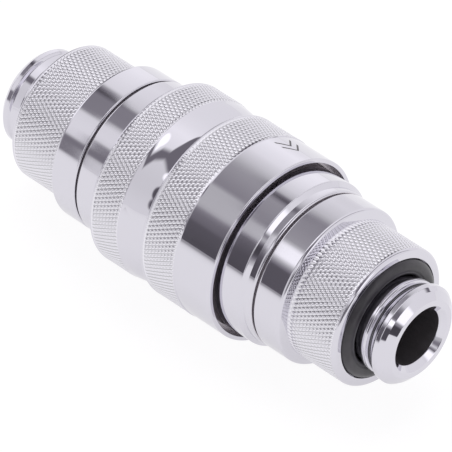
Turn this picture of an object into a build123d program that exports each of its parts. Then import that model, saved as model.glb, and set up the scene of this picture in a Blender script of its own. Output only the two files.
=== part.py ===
from build123d import *
import os
from math import sqrt

# Quick disconnect coupler: a dry-break, ball-lock coupling between two G1/4 ports.
# Millimetres. The centre line is the X axis, with +X out of the socket's port and +Z up.
# The origin is on the centre line, just behind the ridge of the socket's port nipple.
# The pieces are where they lie with the plug locked into the socket and both valves open.

# ---- driving dimensions -------------------------------------------------------------
# Port nipples, the same at both ends: a countersunk tip with a two-step bevel, the wide
# crest of a G1/4 port, a groove, a lower ridge and a relief. Stations are from the origin.
PORT_TIP = 4.2
PORT_TIP_RADIUS = 5.2
PORT_BEVEL_BREAK = 3.5
PORT_BEVEL_BREAK_RADIUS = 6.1
PORT_CREST_RADIUS = 6.5
PORT_CREST_FRONT = 3.0
PORT_CREST_REAR = 2.2
PORT_GROOVE_FRONT = 2.05
PORT_GROOVE_FRONT_RADIUS = 6.15
PORT_GROOVE_REAR = 1.05
PORT_GROOVE_REAR_RADIUS = 5.95
PORT_RIDGE_RADIUS = 6.15
PORT_RIDGE_FRONT = 0.95
PORT_RIDGE_REAR = 0.3
PORT_RELIEF_LENGTH = 1.1
PORT_RELIEF_RADIUS = 5.75
PORT_MOUTH_RADIUS = 4.45
PORT_MOUTH_DEPTH = 0.7
PORT_BORE_RADIUS = 3.75

# Seal of the port face: a ring in a recess in the collar's end
PORT_RING_WIRE = 1.05
PORT_RECESS_DEPTH = 1.45
PORT_RECESS_RADIUS = 7.95

# End fittings: a knurled collar, then a smooth band against the body, then a spigot
SOCKET_COLLAR_LENGTH = 7.9
PLUG_COLLAR_LENGTH = 8.4
COLLAR_RADIUS = 9.2
COLLAR_END_ROUND = 0.6
BAND_RADIUS = 10.4
BAND_LENGTH = 4.3
BAND_SHOULDER_LENGTH = 0.35
JOINT_GROOVE_WIDTH = 0.3
JOINT_GROOVE_RADIUS = 9.8
SPIGOT_RADIUS = 8.9
SPIGOT_LENGTH = 4.2
SPIGOT_BORE_RADIUS = 6.5
SPIGOT_THREAD_CLEARANCE = 0.03

# The two bodies between the end fittings
BODIES_LENGTH = 29.5
BODY_STEP_RADIUS = 10.5
BODY_STEP_LENGTH = 1.15
BODY_BEVEL_LENGTH = 0.5
BODY_RING_RADIUS = 11.05
BODY_RING_LENGTH = 7.3
BODY_TUBE_RADIUS = 9.6
BODY_LENGTH = 16.8
RING_LAND = 0.3
NOSE_BORE_RADIUS = 7.65

# Release sleeve and its spring
SLEEVE_RADIUS = 12.3
SLEEVE_FRONT_SETBACK = 5.1
SLEEVE_LENGTH = 11.55
SLEEVE_MOUTH_RADIUS = 11.65
SLEEVE_MOUTH_DEPTH = 1.6
SLEEVE_SPRING_SEAT = 7.6
SLEEVE_SPRING_WIRE = 0.8
SLEEVE_SPRING_TURNS = 2.75
SLEEVE_TRAVEL = 2.4

# Lock: balls in radial holes, a groove in the plug's nose and a cone in the sleeve
BALL_COUNT = 6
BALL_RADIUS = 1.25
BALL_BITE = 0.345
BALL_RISE_PER_PUSH = 0.2
BALL_GAP = 0.02
BALL_FROM_JOINT = 14.6
BALL_LIP_RADIUS = 7.9
BALL_LIP_WIDTH = 0.12
BALL_HOLE_CLEARANCE = 0.03

# Socket valve: a sleeve that slides over a fixed stem
VALVE_TRAVEL = 4.0
STEM_HEAD_RADIUS = 4.4
STEM_HEAD_LENGTH = 2.0
STEM_SHANK_RADIUS = 2.2
STEM_TAIL_RADIUS = 1.6
STEM_TAIL_LENGTH = 1.2
STEM_CONE_LENGTH = 1.2
STEM_GROOVE_SETBACK = 1.0
VALVE_LIP_RADIUS = 4.45
VALVE_LIP_LENGTH = 1.3
VALVE_BORE_RADIUS = 5.6
VALVE_NOSE_RADIUS = 7.15
VALVE_NOSE_LENGTH = 2.1
VALVE_LENGTH = 4.5
VALVE_SPRING_RADIUS = 5.0
VALVE_SPRING_WIRE = 0.6
VALVE_SPRING_TURNS = 4.5
VALVE_SHOULDER_LENGTH = 0.3
SPRING_SEAT_BORE = 4.5
SPRING_SEAT_RADIUS = 5.4

# Carriers of the stem and the poppet: discs with three windows
CARRIER_RADIUS = 8.25
CARRIER_POCKET_RADIUS = 8.3
CARRIER_LENGTH = 1.5
CARRIER_POCKET_LENGTH = 1.6
CARRIER_WINDOW_RADIUS = 6.0
CARRIER_WEB_WIDTH = 1.8
SPIDER_HUB_RADIUS = 3.1
GUIDE_HUB_RADIUS = 4.2

# Plug: a nose that enters the socket, a knurled shell, and a poppet valve inside
NOSE_RADIUS = 7.6
NOSE_LENGTH = 5.8
NOSE_LIP_LENGTH = 1.3
CHAMBER_RADIUS = 6.0
CHAMBER_LENGTH = 11.1
NECK_GAP = 0.3
NECK_TIP_RADIUS = 11.2
NECK_MID_RADIUS = 11.83
NECK_ROOT_RADIUS = 12.1
NECK_LENGTH = 3.5
SHELL_RADIUS = 12.25
SHELL_LENGTH = 4.85
SHELL_EDGE = 0.45
SHELL_END_DROP = 0.25
POPPET_HEAD_LENGTH = 1.35
POPPET_FLANGE_RADIUS = 5.2
POPPET_FLANGE_LENGTH = 1.0
POPPET_STEM_RADIUS = 1.8
POPPET_GROOVE_SETBACK = 0.75
POPPET_STEM_LENGTH = 11.9
POPPET_SPRING_RADIUS = 3.6
POPPET_SPRING_WIRE = 0.6
POPPET_SPRING_TURNS = 5.5

# Small rings and seals: the wire of each seal is given by its radius
RETAINER_THICKNESS = 0.35
RETAINER_GAP = 0.02
SNAP_RING_GROOVE_RADIUS = 9.0
SNAP_RING_RADIUS = 11.1
SNAP_RING_SLOT = 3.0
SLEEVE_STOP_RADIUS = 11.3
WASHER_RADIUS = 10.95
WASHER_THICKNESS = 0.4
STEM_RING_GROOVE_RADIUS = 1.2
STEM_RING_RADIUS = 2.9
STEM_RING_SLOT = 1.6
JOINT_SEAL_RADIUS = 8.465
JOINT_SEAL_WIRE = 0.45
JOINT_SEAL_SETBACK = 1.15
JOINT_SEAL_GROOVE_RADIUS = 8.0
NOSE_SEAL_RADIUS = 8.045
NOSE_SEAL_WIRE = 0.415
NOSE_SEAL_GROOVE_RADIUS = 8.48
NOSE_SEAL_SETBACK = 1.1
HEAD_SEAL_RADIUS = 4.02
HEAD_SEAL_WIRE = 0.4
HEAD_GROOVE_RADIUS = 3.6
HEAD_GROOVE_WIDTH = 0.9
VALVE_SEAL_RADIUS = 7.235
VALVE_SEAL_WIRE = 0.395
VALVE_GROOVE_RADIUS = 6.82
VALVE_GROOVE_WIDTH = 1.0
VALVE_SEAL_SETBACK = 3.3
SEAL_GROOVE_WIDTH = 1.1
RUNNING_GAP = 0.05

# Edge breaks
SMALL_EDGE = 0.15
BAND_EDGE = 0.2
SLEEVE_FRONT_EDGE = 0.22
SLEEVE_END_EDGE = 0.25
BORE_EDGE = 0.25
PART_EDGE = 0.3
BODY_EDGE = 0.35
STEM_EDGE = 0.4

# ---- stations along X ----------------------------------------------------------------
SOCKET_SEAT = -PORT_RELIEF_LENGTH
SOCKET_JOINT = SOCKET_SEAT - SOCKET_COLLAR_LENGTH - BAND_LENGTH
PLUG_JOINT = SOCKET_JOINT - BODIES_LENGTH
SLEEVE_FRONT = SOCKET_JOINT - SLEEVE_FRONT_SETBACK
SLEEVE_END = SLEEVE_FRONT - SLEEVE_LENGTH
SPRING_SEAT = SLEEVE_FRONT - SLEEVE_SPRING_SEAT
BODY_RING_END = SOCKET_JOINT - BODY_RING_LENGTH
BODY_END = SOCKET_JOINT - BODY_LENGTH
BALL_STATION = SOCKET_JOINT - BALL_FROM_JOINT
BALL_ORBIT = NOSE_RADIUS - BALL_BITE + BALL_RADIUS
NECK_FACE = BODY_END - NECK_GAP
NOSE_FRONT = NECK_FACE + NOSE_LENGTH
CHAMBER_END = NOSE_FRONT - NOSE_LIP_LENGTH - CHAMBER_LENGTH
STEM_FACE = NOSE_FRONT - VALVE_TRAVEL
SPIDER_REAR = SOCKET_JOINT - SPIGOT_LENGTH - RUNNING_GAP
SPIDER_FRONT = SPIDER_REAR - CARRIER_LENGTH
POCKET_END = SOCKET_JOINT - SPIGOT_LENGTH - CARRIER_POCKET_LENGTH
VALVE_FRONT = NOSE_FRONT + RUNNING_GAP
POPPET_FACE = STEM_FACE - RUNNING_GAP
NECK_ROOT = NECK_FACE - NECK_LENGTH
SHELL_END = NECK_ROOT - SHELL_LENGTH
RING_GROOVE = (BODY_END + RING_LAND, BODY_END + RING_LAND + RETAINER_THICKNESS + RUNNING_GAP)
NOSE_SEAL_STATION = NOSE_FRONT - NOSE_SEAL_SETBACK
VALVE_SEAL_STATION = VALVE_FRONT + VALVE_SEAL_SETBACK


# ---- shared shapes -------------------------------------------------------------------
def turned(*outline):
    """A solid turned about the X axis from the (x, radius) corners of its section."""
    return revolve(make_face(Polyline(*outline, close=True)), axis=Axis.X)


def tube(x_from, x_to, inner, outer):
    """A plain ring between two stations."""
    return turned((x_from, inner), (x_to, inner), (x_to, outer), (x_from, outer))


def rim(solid, x, radius):
    """The round edge of a turned solid at station x."""
    for edge in solid.edges().filter_by(GeomType.CIRCLE):
        if abs(edge.arc_center.X - x) < 1e-4 and abs(edge.radius - radius) < 1e-4:
            return edge
    raise ValueError(f"no edge of radius {radius} at {x}")


def seal_ring(x, centre_radius, wire_radius):
    """An O-ring about the X axis."""
    section = Location((x, centre_radius, 0)) * Circle(wire_radius)
    return revolve(section, axis=Axis.X)


def seal_groove(x, inner, outer, width=SEAL_GROOVE_WIDTH):
    """Cutter for the groove of an O-ring centred at station x."""
    return tube(x - width / 2, x + width / 2, inner, outer)


def coil(x_from, x_to, mean_radius, wire, turns):
    """A compression spring about the X axis, its wire just inside both stations."""
    low, high = min(x_from, x_to) + wire / 2, max(x_from, x_to) - wire / 2
    margin = 0.03  # keeps the end coils just off their seats
    height = high - low - 2 * margin
    path = Helix(pitch=height / turns, height=height, radius=mean_radius)
    section = Plane(origin=path @ 0, z_dir=path % 0) * Circle(wire / 2)
    spring = sweep(section, path=path)
    return Pos(low + margin, 0, 0) * Rot(0, 90, 0) * spring


def end_to_end(solid, socket_station, plug_station):
    """A turned solid of the socket end, facing the other way at the plug end."""
    return mirror(solid, about=Plane.YZ.offset((socket_station + plug_station) / 2))


def split_ring(x_from, x_to, inner, outer, slot):
    """A retaining ring with a slot at the top, so that it can be sprung into its groove."""
    ring = tube(x_from, x_to, inner, outer)
    middle = (x_from + x_to) / 2
    return ring - Pos(middle, 0, outer) * Box(2 * (x_to - x_from), slot, 2 * (outer - inner) + slot)


def carrier(x_from, x_to, hub_radius, hole_radius):
    """A disc with three windows for the flow, between its hub and its rim."""
    disc = tube(x_from, x_to, hole_radius, CARRIER_RADIUS)
    windows = tube(x_from - 1, x_to + 1, hub_radius, CARRIER_WINDOW_RADIUS)
    middle = (x_from + x_to) / 2
    for turn in range(3):
        web = Pos(middle, 0, CARRIER_RADIUS / 2) * Box(4, CARRIER_WEB_WIDTH, CARRIER_RADIUS)
        windows -= Rot(120 * turn, 0, 0) * web
    return disc - windows


# ---- end fittings --------------------------------------------------------------------
def end_fitting(collar_length):
    """Fitting of the socket end: nipple, ring recess, collar, band, groove and spigot."""
    recess = SOCKET_SEAT - PORT_RECESS_DEPTH
    band = SOCKET_SEAT - collar_length
    joint = band - BAND_LENGTH
    spigot = joint - SPIGOT_LENGTH
    bore_cone = SPIGOT_BORE_RADIUS - PORT_BORE_RADIUS
    fitting = turned(
        (PORT_TIP, PORT_MOUTH_RADIUS),
        (PORT_TIP, PORT_TIP_RADIUS),
        (PORT_BEVEL_BREAK, PORT_BEVEL_BREAK_RADIUS),
        (PORT_CREST_FRONT, PORT_CREST_RADIUS),
        (PORT_CREST_REAR, PORT_CREST_RADIUS),
        (PORT_GROOVE_FRONT, PORT_GROOVE_FRONT_RADIUS),
        (PORT_GROOVE_REAR, PORT_GROOVE_REAR_RADIUS),
        (PORT_RIDGE_FRONT, PORT_RIDGE_RADIUS),
        (PORT_RIDGE_REAR, PORT_RIDGE_RADIUS),
        (PORT_RIDGE_REAR, PORT_RELIEF_RADIUS),
        (recess, PORT_RELIEF_RADIUS),
        (recess, PORT_RECESS_RADIUS),
        (SOCKET_SEAT, PORT_RECESS_RADIUS),
        (SOCKET_SEAT, COLLAR_RADIUS),
        (band + BAND_SHOULDER_LENGTH, COLLAR_RADIUS),
        (band, BAND_RADIUS),
        (joint + JOINT_GROOVE_WIDTH, BAND_RADIUS),
        (joint + JOINT_GROOVE_WIDTH, JOINT_GROOVE_RADIUS),
        (joint, JOINT_GROOVE_RADIUS),
        (joint, SPIGOT_RADIUS),
        (spigot, SPIGOT_RADIUS),
        (spigot, SPIGOT_BORE_RADIUS),
        (joint, SPIGOT_BORE_RADIUS),
        (joint + bore_cone, PORT_BORE_RADIUS),
        (PORT_TIP - PORT_MOUTH_DEPTH, PORT_BORE_RADIUS),
    )
    fitting = fillet(rim(fitting, SOCKET_SEAT, COLLAR_RADIUS), COLLAR_END_ROUND)
    fitting = chamfer(rim(fitting, joint + JOINT_GROOVE_WIDTH, BAND_RADIUS), BAND_EDGE)
    fitting = chamfer(rim(fitting, spigot, SPIGOT_RADIUS), PART_EDGE)
    return fitting - seal_groove(joint - JOINT_SEAL_SETBACK, JOINT_SEAL_GROOVE_RADIUS, SPIGOT_RADIUS + 1)


def port_oring():
    """Face seal of a port, proud of the collar's end face."""
    floor = SOCKET_SEAT - PORT_RECESS_DEPTH
    centre_radius = (PORT_RELIEF_RADIUS + PORT_RECESS_RADIUS) / 2
    return seal_ring(floor + PORT_RING_WIRE + RETAINER_GAP, centre_radius, PORT_RING_WIRE)


def joint_seal():
    """Small ring in the spigot's groove, between an end fitting and its body."""
    return seal_ring(SOCKET_JOINT - JOINT_SEAL_SETBACK, JOINT_SEAL_RADIUS, JOINT_SEAL_WIRE)


# ---- socket --------------------------------------------------------------------------
def socket_body():
    """Body of the socket: stepped ring, ball holes, thread for the fitting, nose bore."""
    thread = SPIGOT_RADIUS + SPIGOT_THREAD_CLEARANCE
    step = SOCKET_JOINT - BODY_STEP_LENGTH
    body = turned(
        (SOCKET_JOINT, thread),
        (SOCKET_JOINT, BODY_STEP_RADIUS),
        (step, BODY_STEP_RADIUS),
        (step - BODY_BEVEL_LENGTH, BODY_RING_RADIUS),
        (BODY_RING_END, BODY_RING_RADIUS),
        (BODY_RING_END, BODY_TUBE_RADIUS),
        (BODY_END, BODY_TUBE_RADIUS),
        (BODY_END, NOSE_BORE_RADIUS),
        (POCKET_END, NOSE_BORE_RADIUS),
        (POCKET_END, CARRIER_POCKET_RADIUS),
        (SOCKET_JOINT - SPIGOT_LENGTH, CARRIER_POCKET_RADIUS),
        (SOCKET_JOINT - SPIGOT_LENGTH, thread),
    )
    body = chamfer(rim(body, SOCKET_JOINT, BODY_STEP_RADIUS), BODY_EDGE)
    body = chamfer(rim(body, BODY_END, NOSE_BORE_RADIUS), BORE_EDGE)
    body -= tube(RING_GROOVE[0], RING_GROOVE[1], SNAP_RING_GROOVE_RADIUS, BODY_TUBE_RADIUS + 1)
    body -= seal_groove(NOSE_SEAL_STATION, NOSE_BORE_RADIUS - 1, NOSE_SEAL_GROOVE_RADIUS)
    for index in range(BALL_COUNT):
        body -= Rot(360 / BALL_COUNT * index, 0, 0) * ball_hole()
    return body


def ball_hole():
    """Cutter for one ball's hole, with a smaller mouth that keeps the ball from falling in."""
    guide = Pos(0, 0, BALL_LIP_RADIUS + 1.5) * Cylinder(BALL_RADIUS + BALL_HOLE_CLEARANCE, 3)
    mouth = Pos(0, 0, BALL_LIP_RADIUS - 1) * Cylinder(BALL_RADIUS - BALL_LIP_WIDTH, 2.2)
    return Pos(BALL_STATION, 0, 0) * (guide + mouth)


def lock_ball(index):
    """One ball, in the plug's groove and under the sleeve's cone."""
    return Rot(360 / BALL_COUNT * index, 0, 0) * Pos(BALL_STATION, 0, BALL_ORBIT) * Sphere(BALL_RADIUS)


def sleeve_snap_ring():
    """Ring at the body's end that the sleeve rests against."""
    low = RING_GROOVE[0] + RETAINER_GAP
    inner = SNAP_RING_GROOVE_RADIUS + RUNNING_GAP
    return split_ring(low, low + RETAINER_THICKNESS, inner, SNAP_RING_RADIUS, SNAP_RING_SLOT)


def plug_nose_seal():
    """Ring in the socket's bore that seals on the plug's nose."""
    return seal_ring(NOSE_SEAL_STATION, NOSE_SEAL_RADIUS, NOSE_SEAL_WIRE)


# ---- release sleeve ------------------------------------------------------------------
def release_sleeve():
    """Sleeve that is pushed towards the socket's port to free the balls."""
    slope = BALL_RISE_PER_PUSH
    over_ball = BALL_ORBIT + (BALL_RADIUS + BALL_GAP) * sqrt(1 + slope * slope)
    land = BODY_TUBE_RADIUS + RUNNING_GAP
    cone_start = BALL_STATION + (over_ball - land) / slope
    stop = RING_GROOVE[1] + RETAINER_GAP
    cone_end_radius = over_ball + slope * (BALL_STATION - stop)
    guide = BODY_RING_RADIUS + RUNNING_GAP
    sleeve = turned(
        (SLEEVE_FRONT, SLEEVE_MOUTH_RADIUS),
        (SLEEVE_FRONT, SLEEVE_RADIUS),
        (SLEEVE_END, SLEEVE_RADIUS),
        (SLEEVE_END, SLEEVE_STOP_RADIUS),
        (stop, SLEEVE_STOP_RADIUS),
        (stop, cone_end_radius),
        (cone_start, land),
        (SPRING_SEAT, land),
        (SPRING_SEAT, guide),
        (SLEEVE_FRONT - SLEEVE_MOUTH_DEPTH, guide),
        (SLEEVE_FRONT - SLEEVE_MOUTH_DEPTH, SLEEVE_MOUTH_RADIUS),
    )
    sleeve = chamfer(rim(sleeve, SLEEVE_FRONT, SLEEVE_RADIUS), SLEEVE_FRONT_EDGE)
    return chamfer(rim(sleeve, SLEEVE_END, SLEEVE_RADIUS), SLEEVE_END_EDGE)


def sleeve_washer():
    """Thin washer between the body's ring and the sleeve's spring."""
    face = BODY_RING_END - RUNNING_GAP
    return tube(face - WASHER_THICKNESS, face, BODY_TUBE_RADIUS + RUNNING_GAP, WASHER_RADIUS)


def sleeve_spring():
    """Spring that returns the sleeve to its lock."""
    mean = (BODY_TUBE_RADIUS + BODY_RING_RADIUS) / 2 + RETAINER_GAP
    seat = BODY_RING_END - RUNNING_GAP - WASHER_THICKNESS
    return coil(SPRING_SEAT, seat, mean, SLEEVE_SPRING_WIRE, SLEEVE_SPRING_TURNS)


# ---- socket valve --------------------------------------------------------------------
def head_groove(x):
    """Cutter for the seal groove in a valve head."""
    return seal_groove(x, HEAD_GROOVE_RADIUS, STEM_HEAD_RADIUS + 1, HEAD_GROOVE_WIDTH)


def valve_stem():
    """Fixed stem: flat head with a seal groove, cone, shank, and a tail for its ring."""
    head_end = STEM_FACE + STEM_HEAD_LENGTH
    stem = turned(
        (STEM_FACE, 0),
        (STEM_FACE, STEM_HEAD_RADIUS),
        (head_end, STEM_HEAD_RADIUS),
        (head_end + STEM_CONE_LENGTH, STEM_SHANK_RADIUS),
        (SPIDER_FRONT, STEM_SHANK_RADIUS),
        (SPIDER_FRONT, STEM_TAIL_RADIUS),
        (SPIDER_REAR + STEM_TAIL_LENGTH, STEM_TAIL_RADIUS),
        (SPIDER_REAR + STEM_TAIL_LENGTH, 0),
    )
    stem = chamfer(rim(stem, STEM_FACE, STEM_HEAD_RADIUS), SMALL_EDGE)
    stem -= head_groove(STEM_FACE + STEM_GROOVE_SETBACK)
    ring_groove = SPIDER_REAR + RETAINER_THICKNESS + 2 * RUNNING_GAP
    return stem - tube(SPIDER_REAR, ring_groove, STEM_RING_GROOVE_RADIUS, STEM_TAIL_RADIUS + 1)


def stem_seal():
    """Ring in the stem's head that the closed valve sleeve seals on."""
    return seal_ring(STEM_FACE + STEM_GROOVE_SETBACK, HEAD_SEAL_RADIUS, HEAD_SEAL_WIRE)


def stem_spider():
    """Disc in the body's pocket that carries the stem, clamped by the end fitting."""
    return carrier(SPIDER_FRONT, SPIDER_REAR, SPIDER_HUB_RADIUS, STEM_TAIL_RADIUS + RETAINER_GAP)


def stem_retaining_ring():
    """Ring on the stem's tail, behind the spider."""
    low = SPIDER_REAR + RETAINER_GAP
    inner = STEM_RING_GROOVE_RADIUS + RUNNING_GAP
    return split_ring(low, low + RETAINER_THICKNESS, inner, STEM_RING_RADIUS, STEM_RING_SLOT)


def valve_spring_seat():
    """Washer on the spider's webs under the valve spring."""
    face = SPIDER_FRONT - RUNNING_GAP
    return tube(face - WASHER_THICKNESS, face, SPRING_SEAT_BORE, SPRING_SEAT_RADIUS)


def valve_sleeve():
    """Sliding valve of the socket, pushed back by the plug's nose."""
    rear = VALVE_FRONT + VALVE_LENGTH
    shoulder = VALVE_FRONT + VALVE_NOSE_LENGTH
    valve = turned(
        (VALVE_FRONT, VALVE_LIP_RADIUS),
        (VALVE_FRONT, VALVE_NOSE_RADIUS),
        (shoulder, VALVE_NOSE_RADIUS),
        (shoulder + VALVE_SHOULDER_LENGTH, NOSE_RADIUS),
        (rear, NOSE_RADIUS),
        (rear, VALVE_BORE_RADIUS),
        (VALVE_FRONT + VALVE_LIP_LENGTH, VALVE_BORE_RADIUS),
        (VALVE_FRONT + VALVE_LIP_LENGTH, VALVE_LIP_RADIUS),
    )
    return valve - seal_groove(VALVE_SEAL_STATION, VALVE_GROOVE_RADIUS, NOSE_RADIUS + 1, VALVE_GROOVE_WIDTH)


def valve_spring():
    """Spring that closes the valve sleeve over the stem's head."""
    lip = VALVE_FRONT + VALVE_LIP_LENGTH
    seat = SPIDER_FRONT - RUNNING_GAP - WASHER_THICKNESS
    return coil(lip, seat, VALVE_SPRING_RADIUS, VALVE_SPRING_WIRE, VALVE_SPRING_TURNS)


def valve_sleeve_oring():
    """Ring between the valve sleeve and the socket's bore."""
    return seal_ring(VALVE_SEAL_STATION, VALVE_SEAL_RADIUS, VALVE_SEAL_WIRE)


# ---- plug ----------------------------------------------------------------------------
def plug_body():
    """Plug in one piece: grooved nose, neck, knurled shell, band and fitting thread."""
    thread = SPIGOT_RADIUS + SPIGOT_THREAD_CLEARANCE
    pocket = PLUG_JOINT + SPIGOT_LENGTH
    neck = ThreePointArc(
        (NECK_FACE, NECK_TIP_RADIUS),
        (NECK_FACE - NECK_LENGTH / 2, NECK_MID_RADIUS),
        (NECK_ROOT, NECK_ROOT_RADIUS),
    )
    rest = Polyline(
        (NECK_ROOT, NECK_ROOT_RADIUS),
        (NECK_ROOT - SHELL_EDGE, SHELL_RADIUS),
        (SHELL_END + SHELL_EDGE, SHELL_RADIUS),
        (SHELL_END, SHELL_RADIUS - SHELL_END_DROP),
        (SHELL_END, BAND_RADIUS),
        (PLUG_JOINT, BAND_RADIUS),
        (PLUG_JOINT, thread),
        (pocket, thread),
        (pocket, CARRIER_POCKET_RADIUS),
        (CHAMBER_END, CARRIER_POCKET_RADIUS),
        (CHAMBER_END, CHAMBER_RADIUS),
        (NOSE_FRONT - NOSE_LIP_LENGTH, CHAMBER_RADIUS),
        (NOSE_FRONT - NOSE_LIP_LENGTH, VALVE_LIP_RADIUS),
        (NOSE_FRONT, VALVE_LIP_RADIUS),
        (NOSE_FRONT, NOSE_RADIUS),
        (NECK_FACE, NOSE_RADIUS),
        (NECK_FACE, NECK_TIP_RADIUS),
    )
    body = revolve(make_face(neck + rest), axis=Axis.X)
    body = chamfer(rim(body, PLUG_JOINT, BAND_RADIUS), BAND_EDGE)
    body = chamfer(rim(body, NOSE_FRONT, NOSE_RADIUS), PART_EDGE)
    return body - seal_ring(BALL_STATION, BALL_ORBIT, BALL_RADIUS + BALL_GAP)


def poppet():
    """Poppet of the plug, held off its seat by the stem's head."""
    flange = POPPET_FACE - POPPET_HEAD_LENGTH
    back = flange - POPPET_FLANGE_LENGTH
    valve = turned(
        (POPPET_FACE, 0),
        (POPPET_FACE, STEM_HEAD_RADIUS),
        (flange, STEM_HEAD_RADIUS),
        (flange, POPPET_FLANGE_RADIUS),
        (back + PART_EDGE, POPPET_FLANGE_RADIUS),
        (back, POPPET_FLANGE_RADIUS - STEM_EDGE),
        (back, POPPET_STEM_RADIUS),
        (back - POPPET_STEM_LENGTH, POPPET_STEM_RADIUS),
        (back - POPPET_STEM_LENGTH, 0),
    )
    valve = chamfer(rim(valve, POPPET_FACE, STEM_HEAD_RADIUS), SMALL_EDGE)
    valve = chamfer(rim(valve, back - POPPET_STEM_LENGTH, POPPET_STEM_RADIUS), STEM_EDGE)
    return valve - head_groove(POPPET_FACE - POPPET_GROOVE_SETBACK)


def poppet_seal():
    """Ring in the poppet's head."""
    return seal_ring(POPPET_FACE - POPPET_GROOVE_SETBACK, HEAD_SEAL_RADIUS, HEAD_SEAL_WIRE)


def poppet_guide():
    """Disc that guides the poppet's stem, clamped under the plug's end fitting."""
    front = CHAMBER_END - RUNNING_GAP
    return carrier(front - CARRIER_LENGTH, front, GUIDE_HUB_RADIUS, POPPET_STEM_RADIUS + RUNNING_GAP)


def poppet_spring():
    """Spring that closes the poppet when the plug leaves the socket."""
    back = POPPET_FACE - POPPET_HEAD_LENGTH - POPPET_FLANGE_LENGTH
    seat = CHAMBER_END - RUNNING_GAP
    return coil(seat, back, POPPET_SPRING_RADIUS, POPPET_SPRING_WIRE, POPPET_SPRING_TURNS)


def build():
    """Every piece by its node name."""
    pieces = {
        "socket_end_fitting": end_fitting(SOCKET_COLLAR_LENGTH),
        "socket_port_oring": port_oring(),
        "socket_joint_seal": joint_seal(),
        "socket_body": socket_body(),
        "plug_nose_seal": plug_nose_seal(),
        "sleeve_snap_ring": sleeve_snap_ring(),
        "valve_stem": valve_stem(),
        "stem_seal": stem_seal(),
        "stem_spider": stem_spider(),
        "stem_retaining_ring": stem_retaining_ring(),
        "release_sleeve": release_sleeve(),
        "sleeve_washer": sleeve_washer(),
        "sleeve_spring": sleeve_spring(),
        "valve_sleeve": valve_sleeve(),
        "valve_sleeve_oring": valve_sleeve_oring(),
        "valve_spring": valve_spring(),
        "valve_spring_seat": valve_spring_seat(),
        "plug_body": plug_body(),
        "poppet": poppet(),
        "poppet_seal": poppet_seal(),
        "poppet_guide": poppet_guide(),
        "poppet_spring": poppet_spring(),
    }
    for index in range(BALL_COUNT):
        pieces[f"lock_ball_{index + 1}"] = lock_ball(index)
    fitting_joint = SOCKET_SEAT - PLUG_COLLAR_LENGTH - BAND_LENGTH
    pieces["plug_end_fitting"] = end_to_end(end_fitting(PLUG_COLLAR_LENGTH), fitting_joint, PLUG_JOINT)
    pieces["plug_port_oring"] = end_to_end(port_oring(), fitting_joint, PLUG_JOINT)
    pieces["plug_joint_seal"] = end_to_end(joint_seal(), SOCKET_JOINT, PLUG_JOINT)
    return pieces


os.makedirs("parts", exist_ok=True)
for name, solid in build().items():
    solid.label = name
    export_step(solid, f"parts/{name}.step")
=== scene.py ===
import bpy
import numpy as np
from mathutils import Matrix, Vector


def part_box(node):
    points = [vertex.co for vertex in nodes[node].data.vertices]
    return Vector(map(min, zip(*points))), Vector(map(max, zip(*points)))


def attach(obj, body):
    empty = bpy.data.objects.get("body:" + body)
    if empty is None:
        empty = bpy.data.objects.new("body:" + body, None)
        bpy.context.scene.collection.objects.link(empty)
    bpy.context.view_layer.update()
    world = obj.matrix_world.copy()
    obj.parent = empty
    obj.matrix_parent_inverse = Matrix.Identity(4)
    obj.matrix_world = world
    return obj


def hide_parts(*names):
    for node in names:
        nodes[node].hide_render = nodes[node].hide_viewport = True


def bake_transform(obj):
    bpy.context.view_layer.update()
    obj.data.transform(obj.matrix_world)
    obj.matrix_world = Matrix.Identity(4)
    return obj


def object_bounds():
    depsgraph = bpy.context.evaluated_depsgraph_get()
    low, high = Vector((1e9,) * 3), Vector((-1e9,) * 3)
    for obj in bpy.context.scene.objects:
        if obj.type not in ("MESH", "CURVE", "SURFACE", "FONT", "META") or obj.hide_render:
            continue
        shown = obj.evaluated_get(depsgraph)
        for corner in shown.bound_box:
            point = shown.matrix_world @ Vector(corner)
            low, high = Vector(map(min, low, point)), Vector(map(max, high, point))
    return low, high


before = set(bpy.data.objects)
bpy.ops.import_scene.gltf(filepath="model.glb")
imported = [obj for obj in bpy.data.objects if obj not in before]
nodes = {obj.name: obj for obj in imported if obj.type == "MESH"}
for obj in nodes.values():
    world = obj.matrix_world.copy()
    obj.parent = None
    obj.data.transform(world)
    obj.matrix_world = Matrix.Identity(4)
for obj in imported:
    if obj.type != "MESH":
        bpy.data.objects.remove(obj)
cad_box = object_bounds()
MM = 0.001

# ---- socket body ---------------------------------------------------------------------
# The stepped ring between the near fitting and the sleeve, and the tube that goes on
# under the sleeve. Brass, turned, polished and chrome plated; the end fitting's spigot
# screws into its front. The ball holes, which are under the sleeve, aren't cut here.
EDGE_LAND = 0.05
CRISP_TURN = np.radians(15)
ARC_STEP = 0.3
ROW_MARGIN = 0.02


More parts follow.
